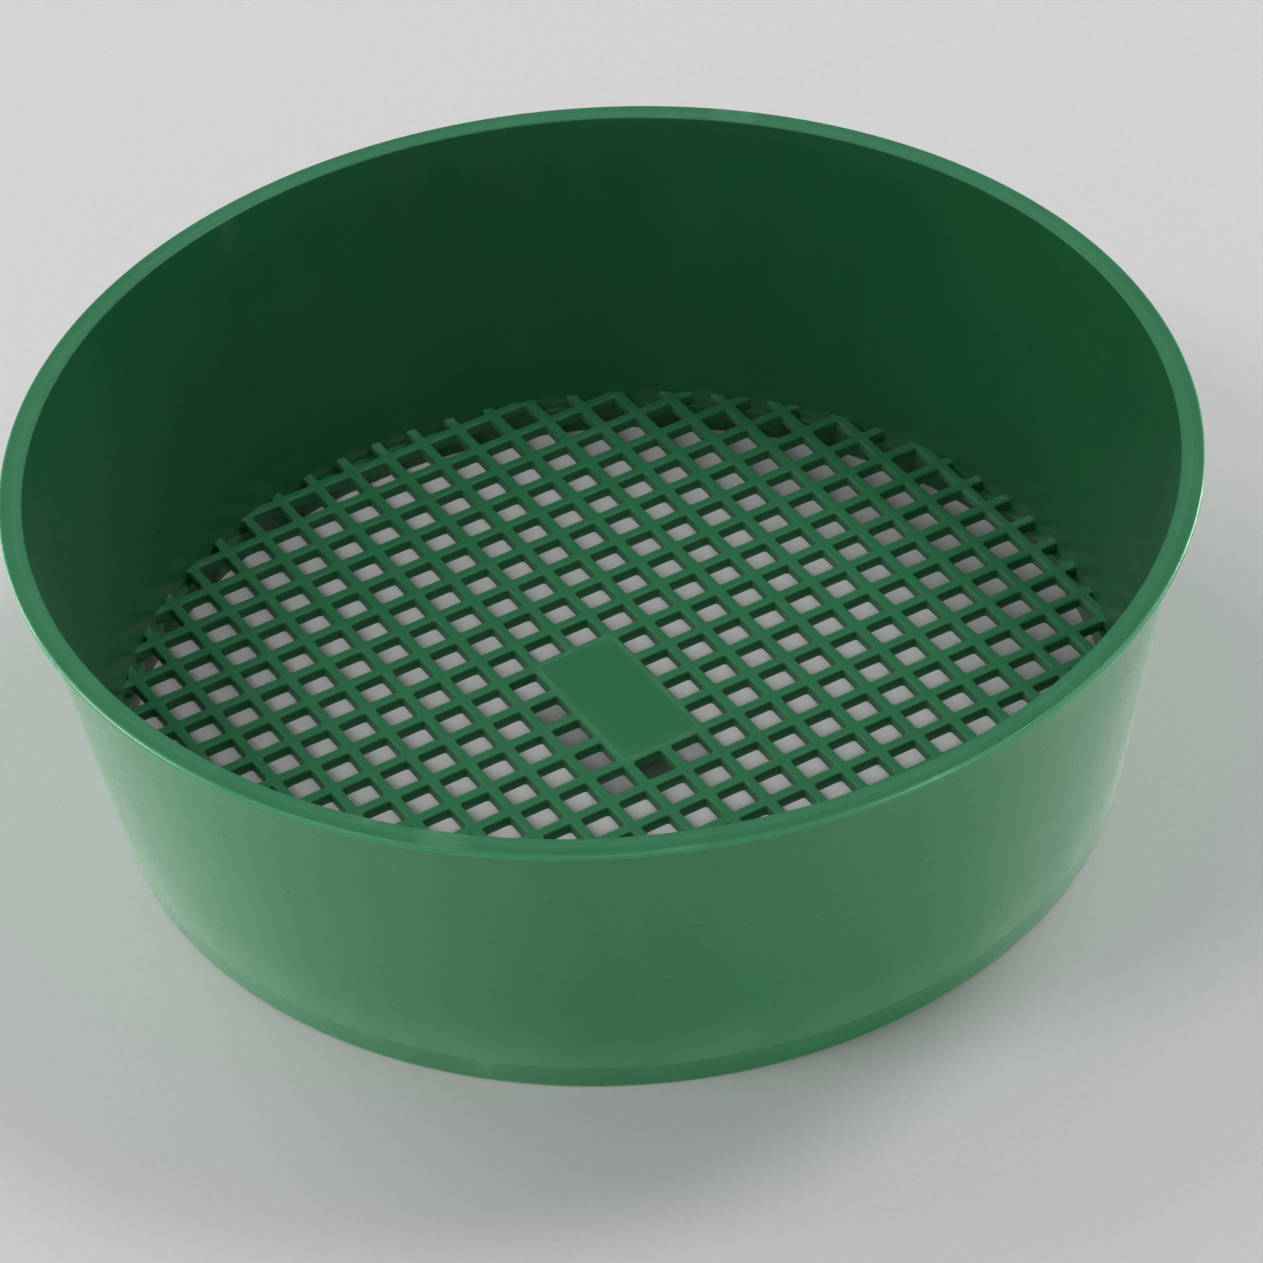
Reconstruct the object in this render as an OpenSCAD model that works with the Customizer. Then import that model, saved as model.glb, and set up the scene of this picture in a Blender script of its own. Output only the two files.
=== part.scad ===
// Soil sieve: a shallow round tub with a flat outward lip, a tapered side wall,
// a square rib mesh as its floor, and a blank plate in the middle of the mesh.
// Millimetres. +Z is up, the origin is on the sieve's axis in the plane it stands on.
// One moulding in real life: the nodes meet face to face along its natural features.

/* [Rim] */
// Outside diameter of the rim lip
rim_d = 210; // [200:0.5:230]
// Thickness of the rim lip, top face to underside
lip_t = 1.2; // [0.8:0.1:2.5]
// How far the lip stands out past the wall below it
lip_overhang = 2.4; // [1:0.1:4]
// Width of the small chamfer on the lip's outer top edge
lip_chamfer = 0.4; // [0.1:0.1:0.7]

/* [Side wall] */
// Overall height, base to rim
height = 65.5; // [50:0.5:90]
// Outside diameter at the base
base_d = 182.8; // [178:0.2:190]
// Wall thickness, measured level
wall_t = 1.9; // [1.5:0.1:3]

/* [Foot ring] */
// Thickness of the foot ring where it stands
foot_t = 1.7; // [1.2:0.1:3]

/* [Mesh] */
// Height of the mesh's top face above the base
mesh_top_z = 8; // [6:0.5:14]
// Distance from one rib's centre to the next
mesh_pitch = 7.8; // [6:0.1:12]
// Depth of a rib, top to bottom
rib_depth = 2.4; // [1.5:0.1:4]
// Width of a rib at the mesh's top face
rib_top_w = 2.1; // [1.2:0.1:3]
// Width of a rib at its lower edge
rib_bottom_w = 1.9; // [0.8:0.1:3]

/* [Centre plate] */
// Mesh cells that the plate covers along X
plate_cells_x = 4; // [2:2:8]
// Mesh cells that the plate covers along Y
plate_cells_y = 2; // [2:2:6]
// Thickness of the plate
plate_t = 1.6; // [0.8:0.1:2.2]
// Diameter of the round gate stub under the plate
gate_d = 5; // [3:0.5:8]

/* [Hidden] */

green = [0.16, 0.44, 0.29];
round_fn = 180;

rim_r = rim_d / 2;
base_r = base_d / 2;
lip_z = height - lip_t;
wall_top_r = rim_r - lip_overhang;
// The wall's outside leans outward by this much for each millimetre of height
wall_lean = (wall_top_r - base_r) / lip_z;
mesh_bottom_z = mesh_top_z - rib_depth;
// The mesh fills the circle inside the wall at its own level
mesh_r = wall_outer_r(mesh_top_z) - wall_t;
rib_count = floor(mesh_r / mesh_pitch);
plate_x = plate_cells_x * mesh_pitch;
plate_y = plate_cells_y * mesh_pitch;

// Outside radius of the wall at height z
function wall_outer_r(z) = base_r + wall_lean * z;

// Length of a rib that lies at this offset from the axis and just passes the mesh's edge
function rib_length(offset) = 2 * sqrt(mesh_r * mesh_r - offset * offset) + 2 * rib_top_w;

// Flat lip that stands out round the top of the wall
module rim_lip() {
    color(green)
        rotate_extrude($fn = round_fn)
            polygon([
                [wall_top_r, lip_z],
                [rim_r, lip_z],
                [rim_r, height - lip_chamfer],
                [rim_r - lip_chamfer, height],
                [wall_outer_r(height), height]
            ]);
}

// Tapered wall from the mesh's lower face to the rim; its bore is straight beside the mesh
module side_wall() {
    color(green)
        rotate_extrude($fn = round_fn)
            polygon([
                [mesh_r, mesh_bottom_z],
                [wall_outer_r(mesh_bottom_z), mesh_bottom_z],
                [wall_outer_r(height), height],
                [wall_outer_r(height) - wall_t, height],
                [mesh_r, mesh_top_z]
            ]);
}

// Ring below the mesh that the sieve stands on
module foot_ring() {
    color(green)
        rotate_extrude($fn = round_fn)
            polygon([
                [base_r - foot_t, 0],
                [base_r, 0],
                [wall_outer_r(mesh_bottom_z), mesh_bottom_z],
                [base_r - foot_t, mesh_bottom_z]
            ]);
}

// One rib along X, wider at the top than at the bottom
module rib(length) {
    rotate([90, 0, 90])
        linear_extrude(height = length, center = true)
            polygon([
                [-rib_bottom_w / 2, mesh_bottom_z],
                [rib_bottom_w / 2, mesh_bottom_z],
                [rib_top_w / 2, mesh_top_z],
                [-rib_top_w / 2, mesh_top_z]
            ]);
}

// Parallel ribs along X, one of them on the axis
module rib_row() {
    for (i = [-rib_count : rib_count])
        translate([0, i * mesh_pitch, 0])
            rib(rib_length(i * mesh_pitch));
}

// Two crossing rows of ribs, one rib of each on the axis
module crossed_ribs() {
    rib_row();
    rotate([0, 0, 90])
        rib_row();
}

// Rectangle of the mesh that belongs to the plate, bounded by the centre lines of ribs
module plate_region(margin) {
    translate([-plate_x / 2, -plate_y / 2, mesh_bottom_z - margin])
        cube([plate_x, plate_y, rib_depth + 2 * margin]);
}

// The mesh: ribs inside the circle of the wall, with the plate's rectangle left free
module sieve_mesh() {
    color(green)
        difference() {
            intersection() {
                union()
                    crossed_ribs();
                translate([0, 0, mesh_bottom_z - 1])
                    cylinder(r = mesh_r, h = rib_depth + 2, $fn = round_fn);
            }
            plate_region(1);
        }
}

// Blank plate, flush with the rib tops, with the ribs and the gate stub on its underside
module centre_plate() {
    color(green)
        union() {
            translate([-plate_x / 2, -plate_y / 2, mesh_top_z - plate_t])
                cube([plate_x, plate_y, plate_t]);
            intersection() {
                union()
                    crossed_ribs();
                plate_region(0);
            }
            translate([0, 0, mesh_bottom_z])
                cylinder(d = gate_d, h = rib_depth, $fn = 48);
        }
}

rim_lip();
side_wall();
foot_ring();
sieve_mesh();
centre_plate();
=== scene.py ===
"""Looks of the soil sieve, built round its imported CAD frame: one moulding in five pieces."""
import math

import bmesh
import bpy
from mathutils import Matrix, Vector


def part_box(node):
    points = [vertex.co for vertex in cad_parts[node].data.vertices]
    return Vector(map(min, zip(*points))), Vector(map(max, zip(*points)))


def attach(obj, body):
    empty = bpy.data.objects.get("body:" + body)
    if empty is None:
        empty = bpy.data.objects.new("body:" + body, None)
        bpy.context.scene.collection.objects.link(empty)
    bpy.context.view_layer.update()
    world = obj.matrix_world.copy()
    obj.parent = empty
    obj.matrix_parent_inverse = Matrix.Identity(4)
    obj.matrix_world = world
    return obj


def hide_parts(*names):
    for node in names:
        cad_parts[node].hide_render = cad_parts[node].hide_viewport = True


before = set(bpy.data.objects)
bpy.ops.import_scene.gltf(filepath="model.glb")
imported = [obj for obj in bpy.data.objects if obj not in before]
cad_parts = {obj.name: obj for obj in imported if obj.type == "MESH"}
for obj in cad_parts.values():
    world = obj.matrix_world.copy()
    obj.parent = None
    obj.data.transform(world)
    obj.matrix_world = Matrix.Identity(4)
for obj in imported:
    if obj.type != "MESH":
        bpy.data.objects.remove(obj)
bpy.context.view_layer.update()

MM = 0.001
BODY = "root"

# ---------------------------------------------------------------- sizes
# These come from the CAD frame, apart from the plate's number of cells
RIM_LOW, RIM_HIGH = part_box("rim_lip")
WALL_LOW, WALL_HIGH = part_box("side_wall")
FOOT_LOW, FOOT_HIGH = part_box("foot_ring")
MESH_LOW, MESH_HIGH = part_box("sieve_mesh")
PLATE_LOW, PLATE_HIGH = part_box("centre_plate")

RIM_R = RIM_HIGH.x
RIM_D = 2 * RIM_R
HEIGHT = RIM_HIGH.z
LIP_Z = RIM_LOW.z
MESH_R = MESH_HIGH.x
MESH_TOP = MESH_HIGH.z
MESH_BOTTOM = MESH_LOW.z
# The wall's outside leans outward by this much for each metre of height
WALL_LEAN = (WALL_HIGH.x - FOOT_HIGH.x) / (HEIGHT - MESH_BOTTOM)
PLATE_CELLS_X = 4
PLATE_CELLS_Y = 2
PITCH = (PLATE_HIGH.x - PLATE_LOW.x) / PLATE_CELLS_X

# Finer sizes, which the frame's boxes don't give
FOOT_T = 1.7 * MM
PLATE_T = 1.6 * MM
RIB_TOP_W = 2.1 * MM
RIB_BOTTOM_W = 1.9 * MM
GATE_R = 2.5 * MM
# The gate's stub is trimmed this far above the ribs' underside
GATE_TRIM = 0.15 * MM

# Fineness of the meshes
ROUND_SEGMENTS = 256
GATE_SEGMENTS = 40
CORNER_STEPS = 5
WALL_STEPS = 6
INNER_EDGE_STEPS = 4
# Points on a quarter turn of an opening's small roundings, and the turn between two of them
QUARTER_POINTS = 3
QUARTER_STEP = math.pi / 4
# Edges that bend more than this many degrees are shaded sharp
SHARP_ANGLE = 40
MESH_SHARP_ANGLE = 50
# Points closer than this become one
MERGE_DISTANCE = 0.005 * MM


def wall_outer_r(z):
    """Outside radius of the wall at height z."""
    return WALL_HIGH.x + WALL_LEAN * (z - HEIGHT)


WALL_T = wall_outer_r(MESH_TOP) - MESH_R
WALL_TOP_R = wall_outer_r(LIP_Z)


# ---------------------------------------------------------------- materials
# Sizes of the noise patterns, in features a metre
CLOUD_SCALE = 28
STREAK_SCALE = 60
PATCH_SCALE = 90
WEAR_SCALE = 120
WAVE_SCALE = 140
FIBRE_SCALE = 900
GRAIN_SCALE = 2600
# The part of its range that a noise mostly stays in
NOISE_LOW = 0.3
NOISE_HIGH = 0.7

# Streaks are drawn out along the wall's height, and are a brighter shade of the light green
STREAK_STRETCH = (1, 1, 0.15)
STREAK_START = 0.45
STREAK_FULL = 0.8
STREAK_MOST = 0.25
STREAK_BRIGHTNESS = 1.25
WAVE_DEPTH = 0.03 * MM

# Pointiness where a convex edge begins to wear, and where it is fully worn
WEAR_START = 0.51
WEAR_FULL = 0.60
# The share of the wear that is left where it is broken up most
WEAR_LEAST = 0.35
WORN_BRIGHTNESS = 1.1
WORN_PALENESS = 0.045
# How open the surface is where the painted shade inside an opening is deepest, and where there is none
OPENING_FULL_SHADE = 0.45
OPENING_NO_SHADE = 0.85
OPENING_REACH = 2.5 * MM
OPENING_SAMPLES = 8
# The shares of the dark green's red, green and blue that are left where the painted shade in an opening
# is deepest
PAINTED_SHADE_SHARES = (0.1, 0.5, 0.28)

# How far patches of gloss take the roughness below and above its usual value
GLOSSIER = 0.06
DULLER = 0.08
PLASTIC_IOR = 1.49
HAZE_ROUGHNESS = 0.3
PAPER_ROUGHNESS = 0.75
PAPER_DARK = (0.70, 0.69, 0.695)
PAPER_LIGHT = (0.73, 0.72, 0.725)


def new_material(name):
    """A new material with its nodes and links."""
    material = bpy.data.materials.new(name)
    material.use_nodes = True
    return material, material.node_tree.nodes, material.node_tree.links


def noise(nodes, links, coordinates, scale, detail, stretch=(1, 1, 1)):
    """A noise texture whose scale is in features a metre."""
    mapping = nodes.new("ShaderNodeMapping")
    mapping.inputs["Scale"].default_value = stretch
    links.new(coordinates, mapping.inputs["Vector"])
    texture = nodes.new("ShaderNodeTexNoise")
    texture.inputs["Scale"].default_value = scale
    texture.inputs["Detail"].default_value = detail
    links.new(mapping.outputs["Vector"], texture.inputs["Vector"])
    return texture.outputs["Fac"]


def remap(nodes, links, value, low, high, from_low=NOISE_LOW, from_high=NOISE_HIGH):
    """Maps a value's range, a noise's usual one if no other is given, to low..high."""
    node = nodes.new("ShaderNodeMapRange")
    node.inputs["From Min"].default_value = from_low
    node.inputs["From Max"].default_value = from_high
    node.inputs["To Min"].default_value = low
    node.inputs["To Max"].default_value = high
    links.new(value, node.inputs["Value"])
    return node.outputs["Result"]


def blend_colour(nodes, links, factor, first, second):
    """Mixes two colours, each a tuple or an output, by a factor output."""
    node = nodes.new("ShaderNodeMix")
    node.data_type = "RGBA"
    links.new(factor, node.inputs["Factor"])
    for socket, colour in ((node.inputs["A"], first), (node.inputs["B"], second)):
        if isinstance(colour, tuple):
            socket.default_value = (*colour, 1)
        else:
            links.new(colour, socket)
    return node.outputs["Result"]


def bump(nodes, links, height, distance, normal=None):
    """A normal tilted by a height pattern of this depth, on top of another normal if given."""
    node = nodes.new("ShaderNodeBump")
    node.inputs["Strength"].default_value = 1.0
    node.inputs["Distance"].default_value = distance
    links.new(height, node.inputs["Height"])
    if normal is not None:
        links.new(normal, node.inputs["Normal"])
    return node.outputs["Normal"]


def edge_wear(nodes, links, place):
    """How worn the surface is, from 0 to 1: most along its convex edges, in broken stretches."""
    pointiness = nodes.new("ShaderNodeNewGeometry").outputs["Pointiness"]
    edges = remap(nodes, links, pointiness, 0, 1, WEAR_START, WEAR_FULL)
    breaks = noise(nodes, links, place, WEAR_SCALE, detail=3)
    broken = remap(nodes, links, breaks, WEAR_LEAST, 1)
    worn = nodes.new("ShaderNodeMath")
    worn.operation = "MULTIPLY"
    links.new(edges, worn.inputs[0])
    links.new(broken, worn.inputs[1])
    return worn.outputs["Value"]


def opening_shade_amount(nodes, links):
    """Painted shade for the surface as far as it lies inside one of its own mesh's openings, from 0 to
    1.
    """
    hollow = nodes.new("ShaderNodeAmbientOcclusion")
    hollow.only_local = True
    hollow.samples = OPENING_SAMPLES
    hollow.inputs["Distance"].default_value = OPENING_REACH
    return remap(nodes, links, hollow.outputs["AO"], 1, 0, OPENING_FULL_SHADE, OPENING_NO_SHADE)


def moulded_plastic(name, light, dark, roughness, grain, gloss, haze=0.0, painted_opening_shade=False):
    """Satin polypropylene: clouds of pigment, paler worn edges, patches of gloss and a fine grain, with
    painted shade inside the mesh's openings if asked.
    """
    material, nodes, links = new_material(name)
    shader = nodes["Principled BSDF"]
    place = nodes.new("ShaderNodeTexCoord").outputs["Object"]
    clouds = noise(nodes, links, place, CLOUD_SCALE, detail=3)
    streaks = noise(nodes, links, place, STREAK_SCALE, detail=4, stretch=STREAK_STRETCH)
    colour = blend_colour(nodes, links, remap(nodes, links, clouds, 0, 1), dark, light)
    streak_amount = remap(nodes, links, streaks, 0, STREAK_MOST, STREAK_START, STREAK_FULL)
    streak_colour = tuple(STREAK_BRIGHTNESS * c for c in light)
    colour = blend_colour(nodes, links, streak_amount, colour, streak_colour)
    worn_colour = tuple(WORN_BRIGHTNESS * c + WORN_PALENESS for c in light)
    colour = blend_colour(nodes, links, edge_wear(nodes, links, place), colour, worn_colour)
    # Painted shade: the sides inside the mesh's openings are darkened towards a deep green where they
    # are hemmed in
    if painted_opening_shade:
        painted_shade_green = tuple(share * c for share, c in zip(PAINTED_SHADE_SHARES, dark))
        colour = blend_colour(nodes, links, opening_shade_amount(nodes, links), colour, painted_shade_green)
    links.new(colour, shader.inputs["Base Color"])
    patches = noise(nodes, links, place, PATCH_SCALE, detail=5)
    patchy = remap(nodes, links, patches, roughness - GLOSSIER, roughness + DULLER)
    links.new(patchy, shader.inputs["Roughness"])
    shader.inputs["Specular IOR Level"].default_value = gloss
    shader.inputs["Sheen Weight"].default_value = haze
    shader.inputs["Sheen Roughness"].default_value = HAZE_ROUGHNESS
    shader.inputs["IOR"].default_value = PLASTIC_IOR
    fine = noise(nodes, links, place, GRAIN_SCALE, detail=2)
    wavy = noise(nodes, links, place, WAVE_SCALE, detail=2)
    normal = bump(nodes, links, wavy, WAVE_DEPTH)
    links.new(bump(nodes, links, fine, grain, normal), shader.inputs["Normal"])
    return material


def floor_paper(name):
    """Pale matt paper with a very faint fibre."""
    material, nodes, links = new_material(name)
    shader = nodes["Principled BSDF"]
    place = nodes.new("ShaderNodeTexCoord").outputs["Object"]
    fibre = noise(nodes, links, place, FIBRE_SCALE, detail=4)
    colour = blend_colour(nodes, links, remap(nodes, links, fibre, 0, 1), PAPER_DARK, PAPER_LIGHT)
    links.new(colour, shader.inputs["Base Color"])
    shader.inputs["Roughness"].default_value = PAPER_ROUGHNESS
    return material


OUTSIDE_PLASTIC = moulded_plastic(
    "wall_outside_plastic",
    light=(0.018, 0.140, 0.050),
    dark=(0.016, 0.128, 0.045),
    roughness=0.27,
    grain=0.012 * MM,
    gloss=0.5,
    haze=0.4,
)
INSIDE_PLASTIC = moulded_plastic(
    "wall_inside_plastic",
    light=(0.018, 0.144, 0.051),
    dark=(0.016, 0.132, 0.046),
    roughness=0.27,
    grain=0.012 * MM,
    gloss=0.5,
    haze=0.1,
)
# Painted light: the rim's plastic is a lighter copy of the wall's green, the one plastic of the whole
# moulding, made lighter where the flat top faces up to the light
RIM_PLASTIC = moulded_plastic(
    "rim_plastic",
    light=(0.028, 0.197, 0.083),
    dark=(0.025, 0.179, 0.075),
    roughness=0.30,
    grain=0.008 * MM,
    gloss=0.35,
)
# Painted light: the mesh's plastic is also a lighter copy of the wall's green, for the upward-facing
# tops of its ribs and plate
MESH_PLASTIC = moulded_plastic(
    "mesh_plastic",
    light=(0.030, 0.181, 0.075),
    dark=(0.027, 0.167, 0.069),
    roughness=0.34,
    grain=0.010 * MM,
    gloss=0.18,
    # Painted shade in the openings between the ribs
    painted_opening_shade=True,
)


# ---------------------------------------------------------------- mesh tools
# How far from each corner of a profile its long faces get one more point
SUPPORT_GAP = 0.3 * MM
RIM_SUPPORT_GAP = 0.15 * MM


def finish_piece(name, mesh, material, node, sharp_angle=SHARP_ANGLE):
    """Shades the mesh, makes it an object and ties it to its CAD node."""
    mesh.materials.append(material)
    mesh.shade_smooth()
    mesh.set_sharp_from_angle(angle=math.radians(sharp_angle))
    piece = bpy.data.objects.new(name, mesh)
    bpy.context.scene.collection.objects.link(piece)
    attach(piece, BODY)
    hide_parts(node)
    return piece


def arc_corner(before, corner, after, radius, steps):
    """Points of the arc that rounds a corner of a profile."""
    to_before = (before - corner).normalized()
    to_after = (after - corner).normalized()
    half = to_before.angle(to_after) / 2
    reach = radius / math.tan(half)
    centre = corner + (to_before + to_after).normalized() * (radius / math.sin(half))
    start = corner + to_before * reach - centre
    end = corner + to_after * reach - centre
    sweep = start.angle_signed(end)
    return [centre + Matrix.Rotation(-sweep * k / steps, 2) @ start for k in range(steps + 1)]


def rounded_profile(corners, support=SUPPORT_GAP):
    """Closed outline of (radius, height) points; each corner is (r, z, rounding radius)."""
    points = [Vector((r, z)) for r, z, _ in corners]
    outline = []
    for k, (_, _, radius) in enumerate(corners):
        before, corner, after = points[k - 1], points[k], points[(k + 1) % len(points)]
        arc = arc_corner(before, corner, after, radius, CORNER_STEPS) if radius > 0 else [corner]
        # A point just before and just after each corner keeps the long faces' shading flat
        outline.append(arc[0] + (before - arc[0]).normalized() * support)
        outline.extend(arc)
        outline.append(arc[-1] + (after - arc[-1]).normalized() * support)
    return outline


def lathe(outline):
    """Turns a closed outline round the Z axis into a ring-shaped solid."""
    build = bmesh.new()
    rings = []
    for k in range(ROUND_SEGMENTS):
        angle = 2 * math.pi * k / ROUND_SEGMENTS
        rings.append(
            [build.verts.new((r * math.cos(angle), r * math.sin(angle), z)) for r, z in outline]
        )
    count = len(outline)
    for k in range(ROUND_SEGMENTS):
        here, there = rings[k], rings[(k + 1) % ROUND_SEGMENTS]
        for i in range(count):
            j = (i + 1) % count
            build.faces.new((here[i], here[j], there[j], there[i]))
    bmesh.ops.recalc_face_normals(build, faces=build.faces)
    mesh = bpy.data.meshes.new("lathe")
    build.to_mesh(mesh)
    build.free()
    return mesh


# ---------------------------------------------------------------- rim, wall and foot
RIM_LOWER_EDGE_R = 0.3 * MM
RIM_UPPER_EDGE_R = 0.45 * MM
# Height of the fillet below the lip
FLARE = 0.7 * MM
INNER_EDGE_R = 0.3 * MM
FOOT_INNER_EDGE_R = 0.35 * MM
FOOT_OUTER_EDGE_R = 0.5 * MM
# A face whose normal rises more than this looks upward
UPWARD = 0.3


def straight_run(first, last, steps):
    """Points between two ends of a long face, without the ends themselves."""
    return [first.lerp(last, k / steps) for k in range(1, steps)]


def make_rim():
    """Flat lip round the wall, with softly rounded outer edges."""
    outline = rounded_profile([
        (WALL_TOP_R, LIP_Z, 0),
        (RIM_R, LIP_Z, RIM_LOWER_EDGE_R),
        (RIM_R, HEIGHT, RIM_UPPER_EDGE_R),
        (wall_outer_r(HEIGHT), HEIGHT, 0),
    ], support=RIM_SUPPORT_GAP)
    return finish_piece("rim_lip_ring", lathe(outline), RIM_PLASTIC, "rim_lip")


def make_wall():
    """Tapered wall up to the rim, with a fillet under the lip and a rounded inner edge.

    Its upward top takes the rim's plastic, a lighter copy of the green that paints light on it, and its
    inside the plastic with hardly any haze.
    """
    fillet_low = LIP_Z - FLARE
    outer_low = Vector((wall_outer_r(MESH_BOTTOM), MESH_BOTTOM))
    outer_high = Vector((wall_outer_r(fillet_low), fillet_low))
    outer_top = Vector((wall_outer_r(HEIGHT), HEIGHT))
    inner_top = Vector((wall_outer_r(HEIGHT) - WALL_T, HEIGHT))
    inner_low = Vector((MESH_R, MESH_TOP))
    outline = [Vector((MESH_R, MESH_BOTTOM)), outer_low]
    outline += straight_run(outer_low, outer_high, WALL_STEPS)
    outline.append(outer_high)
    for k in range(1, WALL_STEPS + 1):
        turn = math.pi / 2 * k / WALL_STEPS
        z = fillet_low + FLARE * math.sin(turn)
        outline.append(Vector((wall_outer_r(z) + FLARE * (1 - math.cos(turn)), z)))
    outline += [Vector((WALL_TOP_R, LIP_Z)), outer_top]
    rounding = arc_corner(outer_top, inner_top, inner_low, INNER_EDGE_R, INNER_EDGE_STEPS)
    outline.append(rounding[0] + Vector((INNER_EDGE_R / 2, 0)))
    outline += rounding
    outline += straight_run(rounding[-1], inner_low, WALL_STEPS)
    outline.append(inner_low)
    mesh = lathe(outline)
    piece = finish_piece("side_wall_shell", mesh, OUTSIDE_PLASTIC, "side_wall")
    mesh.materials.append(RIM_PLASTIC)
    mesh.materials.append(INSIDE_PLASTIC)
    top_index, inside_index = 1, 2
    for face in mesh.polygons:
        inward = face.normal.x * face.center.x + face.normal.y * face.center.y < 0
        upward = face.normal.z > UPWARD
        # Painted light: the upward faces at the top get the rim's lighter green
        if upward and face.center.z > HEIGHT - INNER_EDGE_R:
            face.material_index = top_index
        elif inward:
            face.material_index = inside_index
    return piece


def make_foot():
    """Ring below the mesh, rounded where it stands."""
    base_r = wall_outer_r(0)
    inner_r = base_r - FOOT_T
    outline = rounded_profile([
        (inner_r, 0, FOOT_INNER_EDGE_R),
        (base_r, 0, FOOT_OUTER_EDGE_R),
        (wall_outer_r(MESH_BOTTOM), MESH_BOTTOM, 0),
        (inner_r, MESH_BOTTOM, 0),
    ])
    return finish_piece("foot_ring_shell", lathe(outline), OUTSIDE_PLASTIC, "foot_ring")


# ---------------------------------------------------------------- mesh of ribs and its plate
EDGE_R = 0.35 * MM
LOWER_EDGE_R = 0.2 * MM
CORNER_R = 0.45 * MM
# Half the width of an opening between the ribs' tops, and between their lower edges
HOLE_TOP = (PITCH - RIB_TOP_W) / 2
HOLE_BOTTOM = (PITCH - RIB_BOTTOM_W) / 2


def quarter_turns(corner):
    """The points of one corner of a square, repeated at its four corners."""
    turns = [Matrix.Rotation(math.pi / 2 * quarter, 2) for quarter in range(4)]
    return [turn @ point for turn in turns for point in corner]


def rounded_square(half, radius):
    """Twelve points of a square with rounded corners, three for each corner."""
    corner = []
    for step in range(QUARTER_POINTS):
        angle = QUARTER_STEP * step
        x = half - radius + radius * math.cos(angle)
        y = half - radius + radius * math.sin(angle)
        corner.append(Vector((x, y)))
    return quarter_turns(corner)


def tile_border():
    """Points of a mesh cell's border that the twelve points of its opening join to."""
    half = PITCH / 2
    straight = HOLE_TOP - CORNER_R
    return quarter_turns([Vector((half, straight)), Vector((half, half)), Vector((straight, half))])


def opening_rings(top):
    """Rings of a cell's opening from its border at height top down to the underside."""
    rings = [(tile_border(), top)]
    for step in range(QUARTER_POINTS):
        turn = QUARTER_STEP * step
        grow = EDGE_R * (1 - math.sin(turn))
        height = top - EDGE_R * (1 - math.cos(turn))
        rings.append((rounded_square(HOLE_TOP + grow, CORNER_R + grow), height))
    rings.append((rounded_square(HOLE_BOTTOM, CORNER_R), MESH_BOTTOM + LOWER_EDGE_R))
    rings.append((rounded_square(HOLE_BOTTOM + LOWER_EDGE_R, CORNER_R + LOWER_EDGE_R), MESH_BOTTOM))
    rings.append((tile_border(), MESH_BOTTOM))
    return rings


def add_rings(build, centre, rings):
    """Adds a cell's rings of points and the faces between them; returns the rings' vertices."""
    made = []
    for points, z in rings:
        made.append([build.verts.new((centre.x + p.x, centre.y + p.y, z)) for p in points])
    for upper, lower in zip(made, made[1:]):
        for i in range(len(upper)):
            j = (i + 1) % len(upper)
            build.faces.new((upper[i], upper[j], lower[j], lower[i]))
    return made


def close_sides(build):
    """Joins the open edges of the top to those straight below them."""
    open_edges = [e for e in build.edges if len(e.link_faces) == 1]
    below = {}
    for vert in {v for e in open_edges for v in e.verts}:
        key = (round(vert.co.x / (2 * MERGE_DISTANCE)), round(vert.co.y / (2 * MERGE_DISTANCE)))
        below.setdefault(key, []).append(vert)
    partner = {}
    for pair in below.values():
        if len(pair) == 2:
            partner[pair[0]], partner[pair[1]] = pair[1], pair[0]
    middle = (MESH_TOP + MESH_BOTTOM) / 2
    for edge in open_edges:
        a, b = edge.verts
        if a.co.z > middle and a in partner and b in partner:
            build.faces.new((a, b, partner[b], partner[a]))


def in_plate(i, j):
    """Whether the cell in column i and row j belongs to the plate."""
    return abs(i + 0.5) < PLATE_CELLS_X / 2 and abs(j + 0.5) < PLATE_CELLS_Y / 2


def cell_centre(i, j):
    """Middle of the cell in column i and row j."""
    return Vector(((i + 0.5) * PITCH, (j + 0.5) * PITCH))


def carve(mesh, tool_mesh, operation):
    """Joins a solid mesh with another, or keeps only what the two share."""
    scene = bpy.context.scene
    solid = bpy.data.objects.new("carve_solid", mesh)
    tool = bpy.data.objects.new("carve_tool", tool_mesh)
    scene.collection.objects.link(solid)
    scene.collection.objects.link(tool)
    modifier = solid.modifiers.new("carve", "BOOLEAN")
    modifier.operation = operation
    modifier.solver = "EXACT"
    modifier.object = tool
    graph = bpy.context.evaluated_depsgraph_get()
    carved = bpy.data.meshes.new_from_object(solid.evaluated_get(graph))
    bpy.data.objects.remove(solid)
    bpy.data.objects.remove(tool)
    bpy.data.meshes.remove(tool_mesh)
    carved.materials.clear()
    return carved


def disc_solid(radius, low, high, edge, segments):
    """A round solid on the Z axis whose lower edge is chamfered."""
    build = bmesh.new()
    rings = []
    for r, z in ((radius - edge, low), (radius, low + edge), (radius, high)):
        turns = [2 * math.pi * k / segments for k in range(segments)]
        rings.append([build.verts.new((r * math.cos(a), r * math.sin(a), z)) for a in turns])
    build.faces.new(reversed(rings[0]))
    build.faces.new(rings[-1])
    for lower, upper in zip(rings, rings[1:]):
        for k in range(segments):
            following = (k + 1) % segments
            build.faces.new((lower[k], lower[following], upper[following], upper[k]))
    mesh = bpy.data.meshes.new("disc_solid")
    build.to_mesh(mesh)
    build.free()
    return mesh


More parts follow.
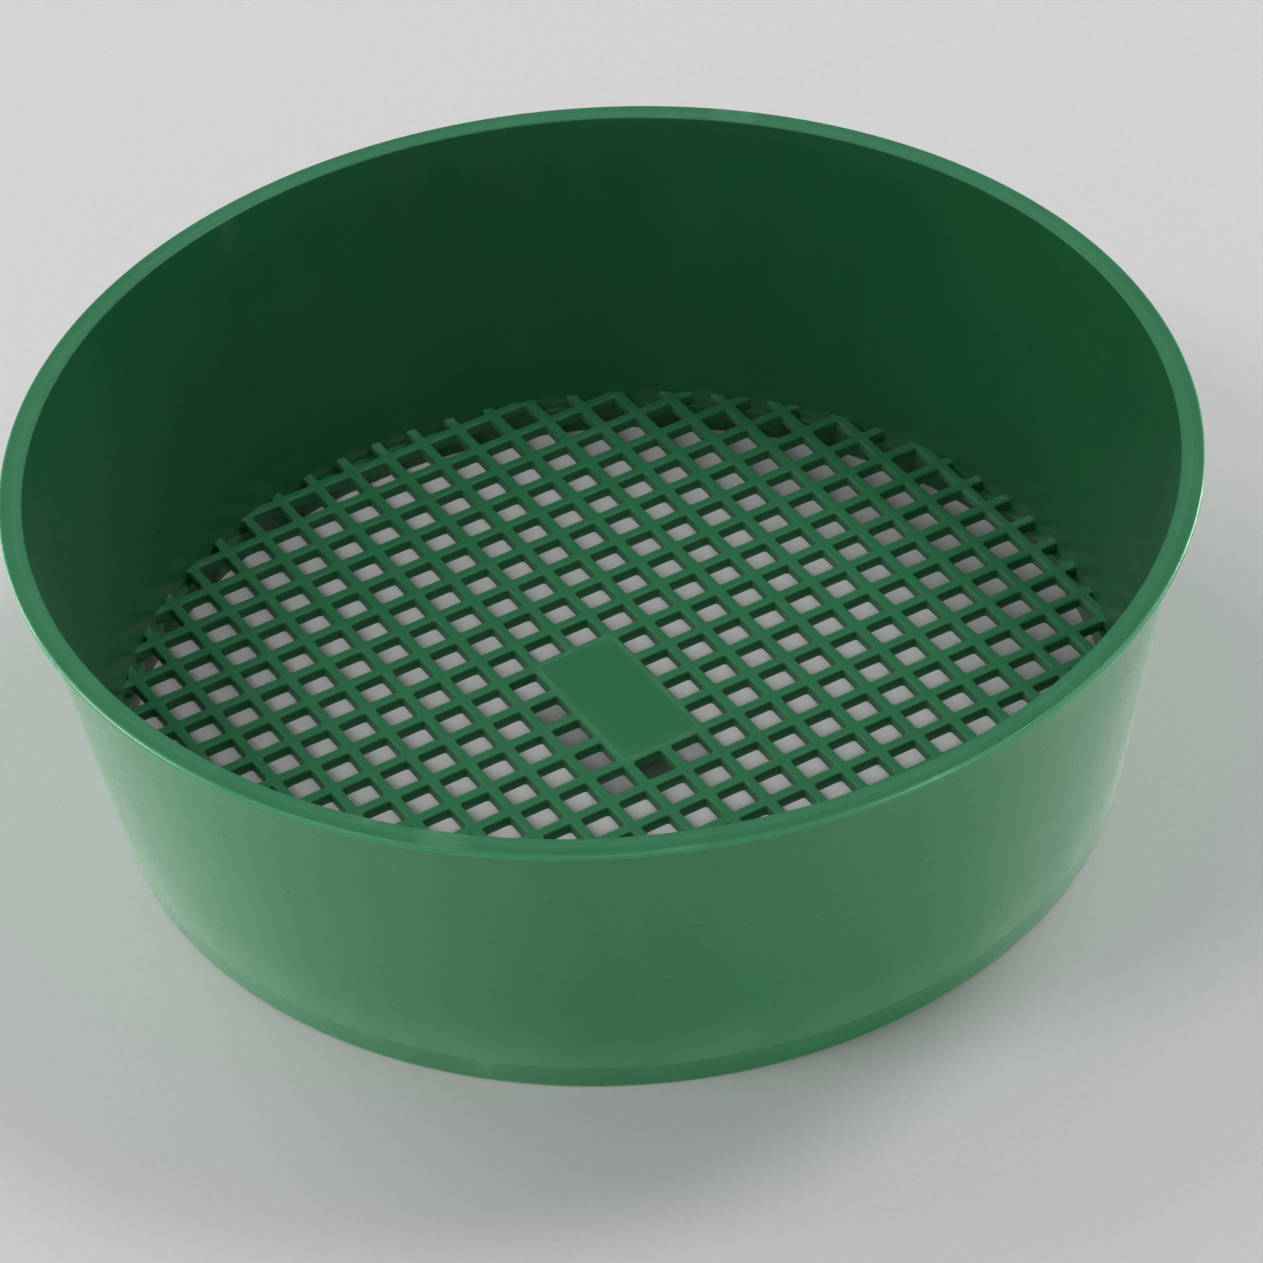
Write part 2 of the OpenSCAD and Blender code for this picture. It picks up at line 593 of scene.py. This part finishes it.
def make_mesh():
    """Square grid of ribs with rounded upper edges, cut to the wall's bore."""
    build = bmesh.new()
    reach = math.ceil(MESH_R / PITCH)
    # Cells that start just past the bore are made too, so that the ribs at its edge are whole
    margin = PITCH / 4
    rings = opening_rings(MESH_TOP)
    for i in range(-reach, reach):
        for j in range(-reach, reach):
            nearest = Vector((min(abs(i), abs(i + 1)), min(abs(j), abs(j + 1)))) * PITCH
            if not in_plate(i, j) and nearest.length < MESH_R + margin:
                add_rings(build, cell_centre(i, j), rings)
    bmesh.ops.remove_doubles(build, verts=build.verts, dist=MERGE_DISTANCE)
    close_sides(build)
    bmesh.ops.recalc_face_normals(build, faces=build.faces)
    mesh = bpy.data.meshes.new("sieve_mesh_grid")
    build.to_mesh(mesh)
    build.free()
    bore = disc_solid(MESH_R, MESH_BOTTOM - PITCH, MESH_TOP + PITCH, EDGE_R, ROUND_SEGMENTS)
    clipped = carve(mesh, bore, "INTERSECT")
    return finish_piece(
        "sieve_mesh_grid", clipped, MESH_PLASTIC, "sieve_mesh", MESH_SHARP_ANGLE
    )


def make_plate():
    """Flat plate flush with the ribs, pocketed below between them, with the gate's stub on the axis."""
    build = bmesh.new()
    ceiling = PLATE_HIGH.z - PLATE_T
    # A pocket is an opening without its border and rounded edge at the top, closed by a ceiling
    rings = opening_rings(MESH_TOP)[1 + QUARTER_POINTS:]
    rings.insert(0, (rounded_square(HOLE_TOP, CORNER_R), ceiling))
    tops = []
    for i in range(-PLATE_CELLS_X // 2, PLATE_CELLS_X // 2):
        for j in range(-PLATE_CELLS_Y // 2, PLATE_CELLS_Y // 2):
            made = add_rings(build, cell_centre(i, j), rings)
            build.faces.new(reversed(made[0]))
            top = [build.verts.new((v.co.x, v.co.y, MESH_TOP)) for v in made[-1]]
            tops.append(build.faces.new(top))
    # A band just inside each cell's border keeps the edge wear from spreading over the plate
    build.normal_update()
    bmesh.ops.inset_individual(build, faces=tops, thickness=EDGE_R)
    bmesh.ops.remove_doubles(build, verts=build.verts, dist=MERGE_DISTANCE)
    close_sides(build)
    bmesh.ops.recalc_face_normals(build, faces=build.faces)
    mesh = bpy.data.meshes.new("centre_plate_slab")
    build.to_mesh(mesh)
    build.free()
    stub_low = MESH_BOTTOM + GATE_TRIM
    stub_high = MESH_TOP - PLATE_T / 2
    stub = disc_solid(GATE_R, stub_low, stub_high, LOWER_EDGE_R, GATE_SEGMENTS)
    plate = carve(mesh, stub, "UNION")
    return finish_piece("centre_plate_slab", plate, MESH_PLASTIC, "centre_plate")


# ---------------------------------------------------------------- camera, floor and light
VIEW_AZIMUTH = math.radians(61.4)
VIEW_ELEVATION = math.radians(40.0)
VIEW_ROLL = math.radians(3.94)
VIEW_DISTANCE = 4.44 * RIM_D
LENS_MM = 149.8
SENSOR_MM = 36
CLIP_NEAR = 0.01
CLIP_FAR = 20
# The point that the camera looks at, as it sees the sieve
AIM_RIGHT = 0.016 * RIM_D
AIM_AWAY = -0.038 * RIM_D
AIM_HEIGHT = 0.458 * HEIGHT


def view_point(right, away, height):
    """A point given by how far it is to the right, away and up, as the camera sees the sieve."""
    return Vector((
        right * math.cos(VIEW_AZIMUTH) - away * math.sin(VIEW_AZIMUTH),
        right * math.sin(VIEW_AZIMUTH) + away * math.cos(VIEW_AZIMUTH),
        height,
    ))


def make_camera():
    """Camera at the photograph's place, turned a little about its own line of sight."""
    forward = view_point(0, math.cos(VIEW_ELEVATION), -math.sin(VIEW_ELEVATION))
    level = view_point(1, 0, 0)
    upright = level.cross(forward)
    right = level * math.cos(VIEW_ROLL) - upright * math.sin(VIEW_ROLL)
    up = right.cross(forward)
    aim = view_point(AIM_RIGHT, AIM_AWAY, AIM_HEIGHT)
    place = aim - forward * VIEW_DISTANCE
    camera = bpy.data.cameras.new("camera")
    camera.lens = LENS_MM
    camera.sensor_width = SENSOR_MM
    camera.clip_start = CLIP_NEAR
    camera.clip_end = CLIP_FAR
    holder = bpy.data.objects.new("camera", camera)
    holder.matrix_world = Matrix((
        (right.x, up.x, -forward.x, place.x),
        (right.y, up.y, -forward.y, place.y),
        (right.z, up.z, -forward.z, place.z),
        (0, 0, 0, 1),
    ))
    bpy.context.scene.collection.objects.link(holder)
    bpy.context.scene.camera = holder


FLOOR_CELLS = 8
# Half the floor's side
FLOOR_REACH = 3


def make_floor():
    """Square of pale paper that the sieve stands on."""
    build = bmesh.new()
    bmesh.ops.create_grid(build, x_segments=FLOOR_CELLS, y_segments=FLOOR_CELLS, size=FLOOR_REACH)
    mesh = bpy.data.meshes.new("floor")
    build.to_mesh(mesh)
    build.free()
    mesh.materials.append(floor_paper("floor_paper"))
    floor = bpy.data.objects.new("floor", mesh)
    bpy.context.scene.collection.objects.link(floor)


# Softboxes: name, bearing from straight behind the sieve, elevation, size, power in watts
SOFTBOX_DISTANCE = 1.4
SOFTBOXES = (
    ("high_back_right_softbox", 61, 60, 0.35, 4.4),
    ("high_front_left_softbox", -119, 52, 0.35, 3.5),
    ("back_left_softbox", -50, 45, 0.7, 4.4),
    ("back_right_softbox", 50, 20, 0.6, 2.2),
)

# Strips close to the floor and lower than the rim, so that of the sieve they light only the
# outside: name, bearing, power in watts
STRIP_DISTANCE = 2.8
STRIP_WIDTH = 0.8
STRIP_HEIGHT = 0.9 * HEIGHT
STRIPS = (
    ("left_strip", -90, 85),
    ("back_left_strip", -60, 42),
    ("back_right_strip", 60, 66),
    ("front_right_strip", 130, 40),
    ("front_strip", 180, 11),
)
SURROUND_STRENGTH = 0.34


def soft_light(name, place, width, height, power):
    """An oblong area light that faces the sieve."""
    light = bpy.data.lights.new(name, "AREA")
    light.shape = "RECTANGLE"
    light.size = width
    light.size_y = height
    light.energy = power
    holder = bpy.data.objects.new(name, light)
    holder.location = place
    aim = Vector((0, 0, HEIGHT / 2)) - place
    holder.rotation_euler = aim.to_track_quat("-Z", "Y").to_euler()
    bpy.context.scene.collection.objects.link(holder)


def make_light():
    """Softboxes, strips and an even pale surround."""
    for name, bearing, elevation, size, power in SOFTBOXES:
        turn, rise = math.radians(bearing), math.radians(elevation)
        level = SOFTBOX_DISTANCE * math.cos(rise)
        height = SOFTBOX_DISTANCE * math.sin(rise)
        place = view_point(level * math.sin(turn), level * math.cos(turn), height)
        soft_light(name, place, size, size, power)
    for name, bearing, power in STRIPS:
        right = STRIP_DISTANCE * math.sin(math.radians(bearing))
        away = STRIP_DISTANCE * math.cos(math.radians(bearing))
        soft_light(name, view_point(right, away, HEIGHT / 2), STRIP_WIDTH, STRIP_HEIGHT, power)
    world = bpy.data.worlds.new("studio")
    world.use_nodes = True
    surround = world.node_tree.nodes["Background"]
    surround.inputs["Color"].default_value = (1.0, 1.0, 1.0, 1)
    surround.inputs["Strength"].default_value = SURROUND_STRENGTH
    bpy.context.scene.world = world
    bpy.context.scene.view_settings.view_transform = "Standard"


make_camera()
make_floor()
make_light()
make_rim()
make_wall()
make_foot()
make_mesh()
make_plate()


def corners(box):
    """A box's two corners as plain lists of numbers."""
    return [[float(value) for value in corner] for corner in box]
